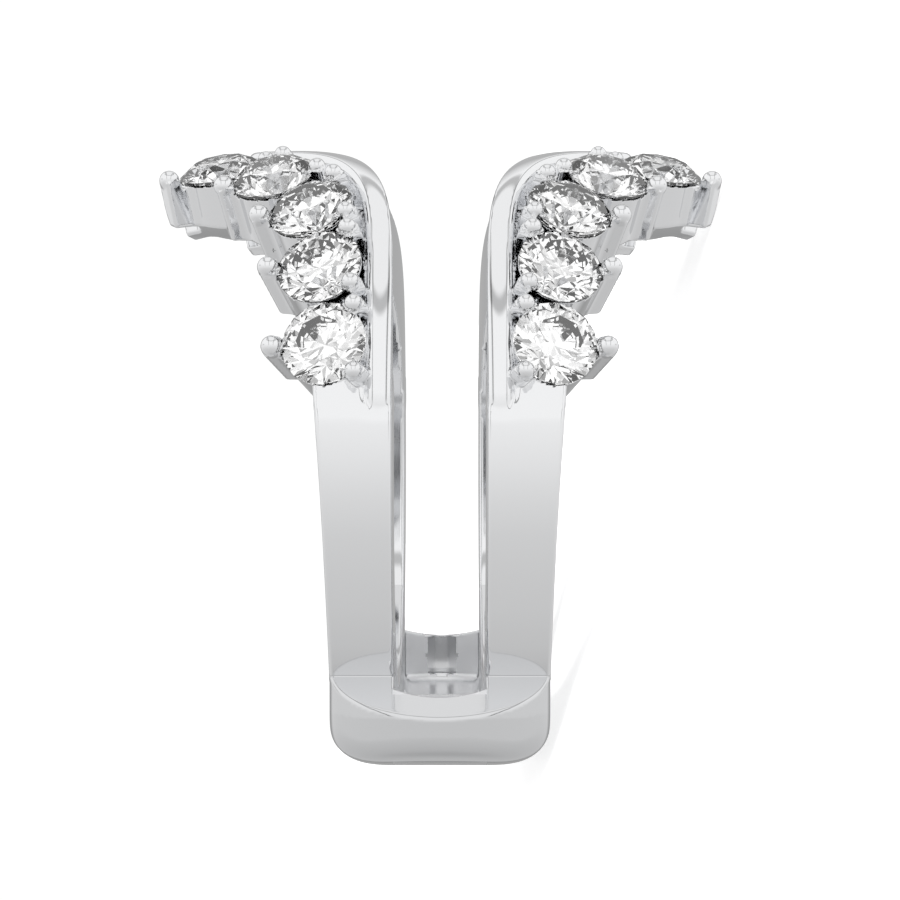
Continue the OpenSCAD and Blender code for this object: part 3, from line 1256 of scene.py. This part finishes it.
@dataclass
class Studio:
    """The floor, the soft light and the camera.

    Attributes:
        distance: of the camera from the finger axis, in millimetres, at this elevation in degrees.
        offset_side: how far the camera's aim lies beside the ring's middle, and offset_up above it.
        lens: its focal length, with this sensor width, and clip its near and far limits in metres.
        floor_half: half the floor's width in metres.
        floor_glow: how much light the floor adds to what the camera sees of it.
        backdrop: the grey behind the floor.
        patch_scale: patches across the tent, with this detail.
        key_place: the lamp's place in metres, key_size its side and key_power its watts.
    """

    pose: Pose
    tent: Tent = field(default_factory=Tent)
    distance: float = 81.43
    elevation: float = 1.35
    offset_side: float = -0.34
    offset_up: float = 0.226
    lens: float = 86.36
    sensor: float = 36.0
    clip: Tuple[float, float] = (0.001, 20.0)
    floor_half: float = 4.0
    floor_roughness: float = 0.9
    floor_glow: float = 0.5
    backdrop: float = 1.05
    patch_scale: float = 3.2
    patch_detail: float = 1.0
    key_place: Tuple[float, float, float] = (0.12, -0.1, 0.5)
    key_size: float = 0.6
    key_power: float = 0.7

    def camera(self) -> None:
        """Sets the camera at the photograph's angle to the ring."""
        e = math.radians(self.elevation)
        back = np.array([0.0, math.cos(e), math.sin(e)])
        up = np.array([0.0, -math.sin(e), math.cos(e)])
        eye = back * self.distance + up * self.offset_up + np.array([self.offset_side, 0.0, 0.0])
        turn = self.pose.axes()
        right = turn @ np.cross(-back, up)
        rows = np.array([right, turn @ up, turn @ back])
        cam = bpy.data.objects.new("camera", bpy.data.cameras.new("camera"))
        cam.data.lens = self.lens
        cam.data.sensor_width = self.sensor
        cam.data.clip_start, cam.data.clip_end = self.clip
        place = self.pose.place(eye[None])[0]
        cam.matrix_world = Matrix.Translation(Vector(place)) @ Matrix(rows.T.tolist()).to_4x4()
        bpy.context.scene.collection.objects.link(cam)
        bpy.context.scene.camera = cam

    def floor_material(self) -> Material:
        """The pale floor's finish, a little lighter to the camera than the lamp alone makes it.

        Returns:
            The new material.
        """
        mat = blank_material("floor", Tone.FLOOR)
        nt = mat.node_tree
        bsdf = nt.nodes["Principled BSDF"]
        bsdf.inputs["Roughness"].default_value = self.floor_roughness
        bsdf.inputs["Specular IOR Level"].default_value = 0.0
        bsdf.inputs["Emission Color"].default_value = (1, 1, 1, 1)
        path = nt.nodes.new("ShaderNodeLightPath")
        glow = nt.nodes.new("ShaderNodeMath")
        glow.operation = "MULTIPLY"
        glow.inputs[1].default_value = self.floor_glow
        nt.links.new(path.outputs["Is Camera Ray"], glow.inputs[0])
        nt.links.new(glow.outputs["Value"], bsdf.inputs["Emission Strength"])
        return mat

    def unmirrored(self, obj: Object) -> None:
        """Adds an object to the scene that neither metal nor stones show."""
        obj.visible_glossy = obj.visible_transmission = False
        bpy.context.scene.collection.objects.link(obj)

    def floor(self) -> None:
        """A plain pale floor."""
        s = self.floor_half
        mesh = bpy.data.meshes.new("floor")
        mesh.from_pydata([(-s, -s, 0), (s, -s, 0), (s, s, 0), (-s, s, 0)], [], [(0, 1, 2, 3)])
        mesh.materials.append(self.floor_material())
        obj = bpy.data.objects.new("floor", mesh)
        self.unmirrored(obj)

    def toward(self, nt: NodeTree, axis: Sequence[float]) -> NodeSocket:
        """How far a direction of the tent runs along an axis of the standing ring.

        Args:
            nt: the tree.
            axis: the axis, of length 1.

        Returns:
            From -1 against it to 1 along it.
        """
        where = nt.nodes.new("ShaderNodeTexCoord")
        dot = nt.nodes.new("ShaderNodeVectorMath")
        dot.operation = "DOT_PRODUCT"
        dot.inputs[1].default_value = tuple(self.pose.axes() @ np.array(axis))
        nt.links.new(where.outputs["Generated"], dot.inputs[0])
        return dot.outputs["Value"]

    def share(self, nt: NodeTree, axis: Sequence[float]) -> NodeSocket:
        """The same, from 0 against the axis to 1 along it.

        Args:
            nt: the tree.
            axis: the axis, of length 1.

        Returns:
            The share.
        """
        node = nt.nodes.new("ShaderNodeMath")
        node.operation = "MULTIPLY_ADD"
        nt.links.new(self.toward(nt, axis), node.inputs[0])
        node.inputs[1].default_value = 0.5
        node.inputs[2].default_value = 0.5
        return node.outputs["Value"]

    def aside(self, nt: NodeTree, axis: Sequence[float]) -> NodeSocket:
        """The same, from 0 square to the axis to 1 along or against it.

        Args:
            nt: the tree.
            axis: the axis, of length 1.

        Returns:
            The size.
        """
        node = nt.nodes.new("ShaderNodeMath")
        node.operation = "ABSOLUTE"
        nt.links.new(self.toward(nt, axis), node.inputs[0])
        return node.outputs["Value"]

    def mix(self, nt: NodeTree, factor: NodeSocket, under: NodeSocket, kind: str = "MIX") -> Node:
        """A colour mix whose second colour is still to be given.

        Args:
            nt: the tree.
            factor: the second colour's strength.
            under: the first colour.
            kind: how they mix.

        Returns:
            The node.
        """
        node = nt.nodes.new("ShaderNodeMix")
        node.data_type = "RGBA"
        node.blend_type = kind
        nt.links.new(factor, node.inputs["Factor"])
        nt.links.new(under, node.inputs["A"])
        return node

    def mirrored_tent(self, nt: NodeTree) -> NodeSocket:
        """What the metal and the facets mirror.

        Args:
            nt: the tree.

        Returns:
            The grey.
        """
        height = self.share(nt, HEAD)
        both = nt.nodes.new("ShaderNodeVectorMath")
        both.operation = "MULTIPLY"
        nt.links.new(self.tent.fall.read(nt, height), both.inputs[0])
        nt.links.new(self.tent.behind.read(nt, self.share(nt, DEPTH)), both.inputs[1])
        flagged = self.mix(nt, self.tent.flag_reach.read(nt, height), both.outputs["Vector"], "MULTIPLY")
        nt.links.new(self.tent.flags.read(nt, self.aside(nt, SIDE)), flagged.inputs["B"])
        return flagged.outputs["Result"]

    def patchwork(self, nt: NodeTree) -> NodeSocket:
        """What the stones gather through their facets.

        Args:
            nt: the tree.

        Returns:
            The grey.
        """
        where = nt.nodes.new("ShaderNodeTexCoord")
        patch = nt.nodes.new("ShaderNodeTexNoise")
        patch.inputs["Scale"].default_value = self.patch_scale
        patch.inputs["Detail"].default_value = self.patch_detail
        nt.links.new(where.outputs["Generated"], patch.inputs["Vector"])
        return self.tent.sparkle.read(nt, patch.outputs["Fac"])

    def world(self) -> None:
        """The light all round: the tent, the patchwork to rays inside the stones, and a plain backdrop."""
        world = bpy.data.worlds.new("studio")
        bpy.context.scene.world = world
        world.use_nodes = True
        nt = world.node_tree
        nt.nodes.clear()
        path = nt.nodes.new("ShaderNodeLightPath")
        through = self.mix(nt, path.outputs["Is Transmission Ray"], self.mirrored_tent(nt))
        nt.links.new(self.patchwork(nt), through.inputs["B"])
        seen = self.mix(nt, path.outputs["Is Camera Ray"], through.outputs["Result"])
        seen.inputs["B"].default_value = (self.backdrop, self.backdrop, self.backdrop, 1)
        light = nt.nodes.new("ShaderNodeBackground")
        out = nt.nodes.new("ShaderNodeOutputWorld")
        nt.links.new(seen.outputs["Result"], light.inputs["Color"])
        nt.links.new(light.outputs["Background"], out.inputs["Surface"])

    def lamp(self) -> None:
        """A square soft lamp over the ring, aimed at it."""
        data = bpy.data.lights.new("key", "AREA")
        data.shape = "SQUARE"
        data.size = self.key_size
        data.energy = self.key_power
        obj = bpy.data.objects.new("key", data)
        obj.location = self.key_place
        obj.rotation_euler = (-Vector(self.key_place)).to_track_quat("-Z", "Y").to_euler()
        self.unmirrored(obj)

    def build(self) -> None:
        """Makes the set."""
        self.camera()
        self.floor()
        self.world()
        self.lamp()
        bpy.context.scene.view_settings.view_transform = "Standard"
        LOG.info("studio built")


def main() -> None:
    """Builds the ring and its set."""
    logging.basicConfig(level=logging.INFO, format="%(message)s")
    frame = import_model()
    pose = Pose()
    Stones().dress(frame["nodes"])
    for piece in CastMetal(pose).build():
        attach(piece, "root")
        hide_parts("guard_frame")
    Studio(pose).build()


if __name__ == "__main__":
    main()
